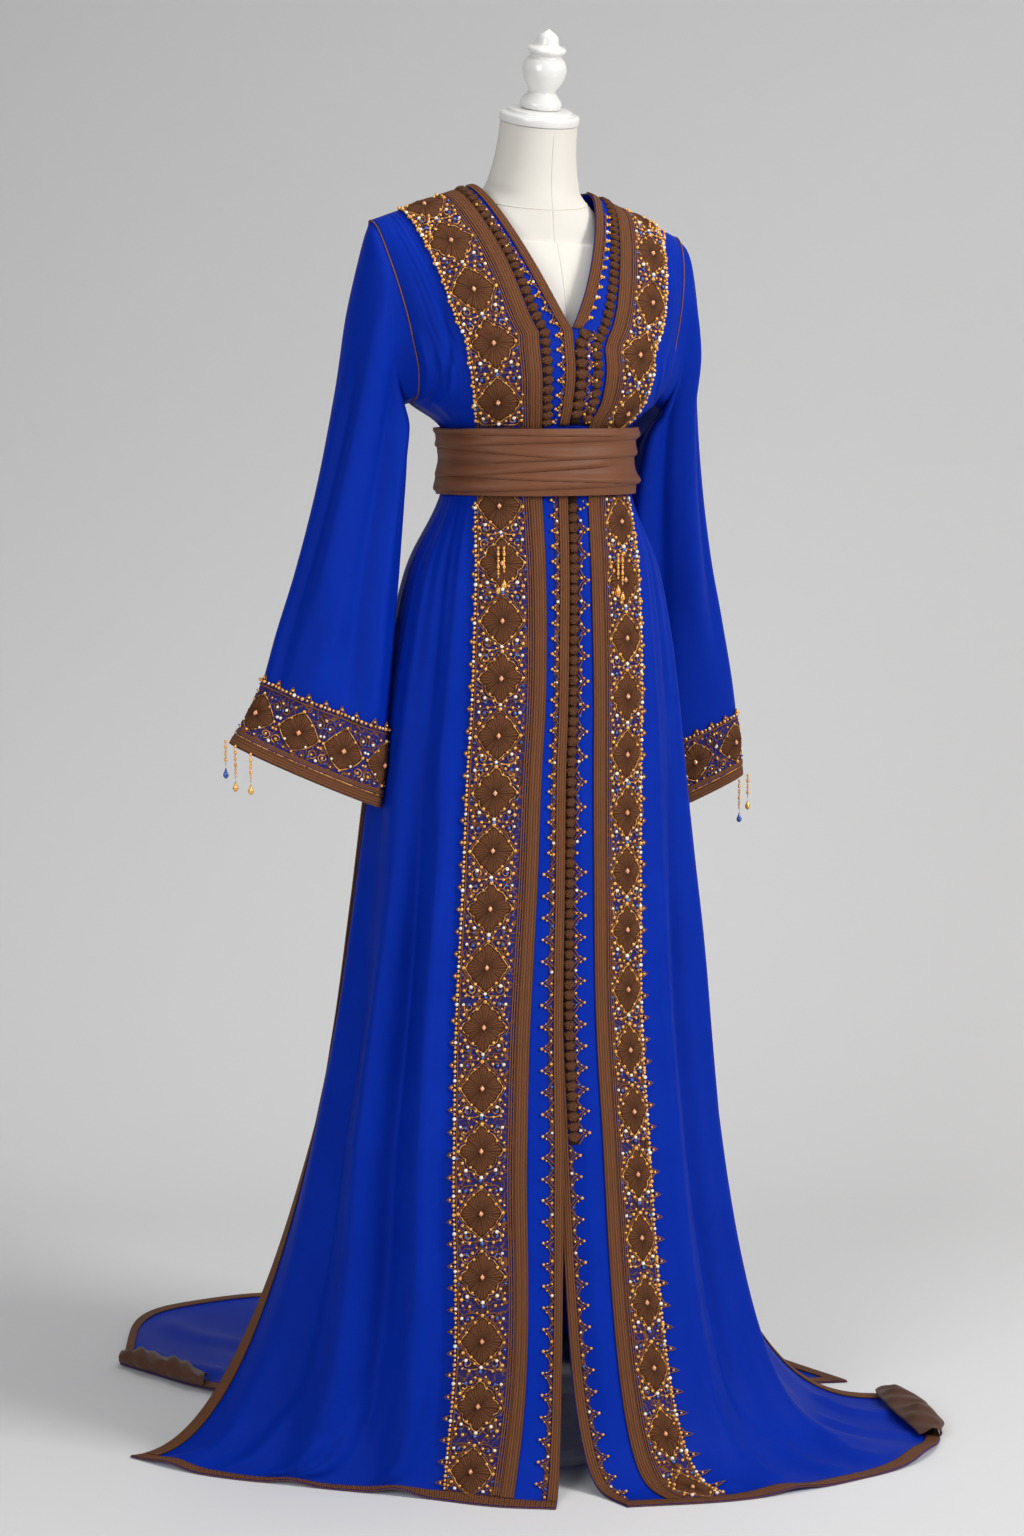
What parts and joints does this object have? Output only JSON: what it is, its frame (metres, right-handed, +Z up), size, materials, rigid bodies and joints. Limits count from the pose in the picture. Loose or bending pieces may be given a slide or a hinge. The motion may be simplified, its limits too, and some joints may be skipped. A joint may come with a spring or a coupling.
{
  "type": "moroccan kaftan on limbless dress form",
  "caption": "Long open-front kaftan of blue crepe with brown braid, knotted buttons, beaded bands, wide sleeves, a satin sash and a train, standing on a limbless dress form.",
  "frame": {"origin": "centre of the underside of the stand's round base, on the floor", "axes": "+Z up; the front of the garment faces -Y, so the wearer's right side is at -X; the train goes back to +Y"},
  "size_m": [1.0946, 1.1365, 1.8974],
  "materials": {
    "crepe_blue": "royal blue matte crepe with a soft sheen",
    "braid_brown": "brown silk braid and knotted buttons with a gold thread",
    "embroidery": "brown embroidery on dark net with gold cord and beads",
    "satin_brown": "plain brown satin",
    "beads": "amber and blue beads, clear gloss",
    "form_ivory": "ivory knit cover on a padded form",
    "wood_white": "white gloss paint on turned wood",
    "stand_pale": "off-white satin paint"
  },
  "bodies": {
    "root": {"front_right": "crepe_blue", "front_left": "crepe_blue", "back": "crepe_blue", "sleeve_right": "crepe_blue", "sleeve_left": "crepe_blue", "neck_braid_right": "braid_brown", "neck_braid_left": "braid_brown", "neck_braid_back": "braid_brown", "edge_braid_right": "braid_brown", "edge_braid_left": "braid_brown", "button_row_chest": "braid_brown", "button_row_skirt": "braid_brown", "neck_knots_right": "braid_brown", "neck_knots_left": "braid_brown", "inner_braid_right": "braid_brown", "inner_braid_left": "braid_brown", "slit_braid_front_right": "braid_brown", "slit_braid_front_left": "braid_brown", "slit_braid_back_right": "braid_brown", "slit_braid_back_left": "braid_brown", "hem_braid_front_right": "braid_brown", "hem_braid_front_left": "braid_brown", "hem_braid_back": "braid_brown", "cuff_braid_right": "braid_brown", "cuff_braid_left": "braid_brown", "armhole_piping_right": "braid_brown", "armhole_piping_left": "braid_brown", "lace_right": "embroidery", "lace_left": "embroidery", "embroidered_band_right": "embroidery", "embroidered_band_left": "embroidery", "cuff_band_right": "embroidery", "cuff_band_left": "embroidery", "belt": "satin_brown", "facing_front_left": "satin_brown", "facing_train": "satin_brown", "cuff_string_right_1": "beads", "cuff_string_right_2": "beads", "cuff_string_right_3": "beads", "cuff_string_left_1": "beads", "cuff_string_left_2": "beads", "form_bust": "form_ivory", "neck_cap": "wood_white", "finial": "wood_white", "form_flange": "stand_pale", "pole": "stand_pale", "base_socket": "stand_pale", "base": "stand_pale"}
  },
  "joints": []
}
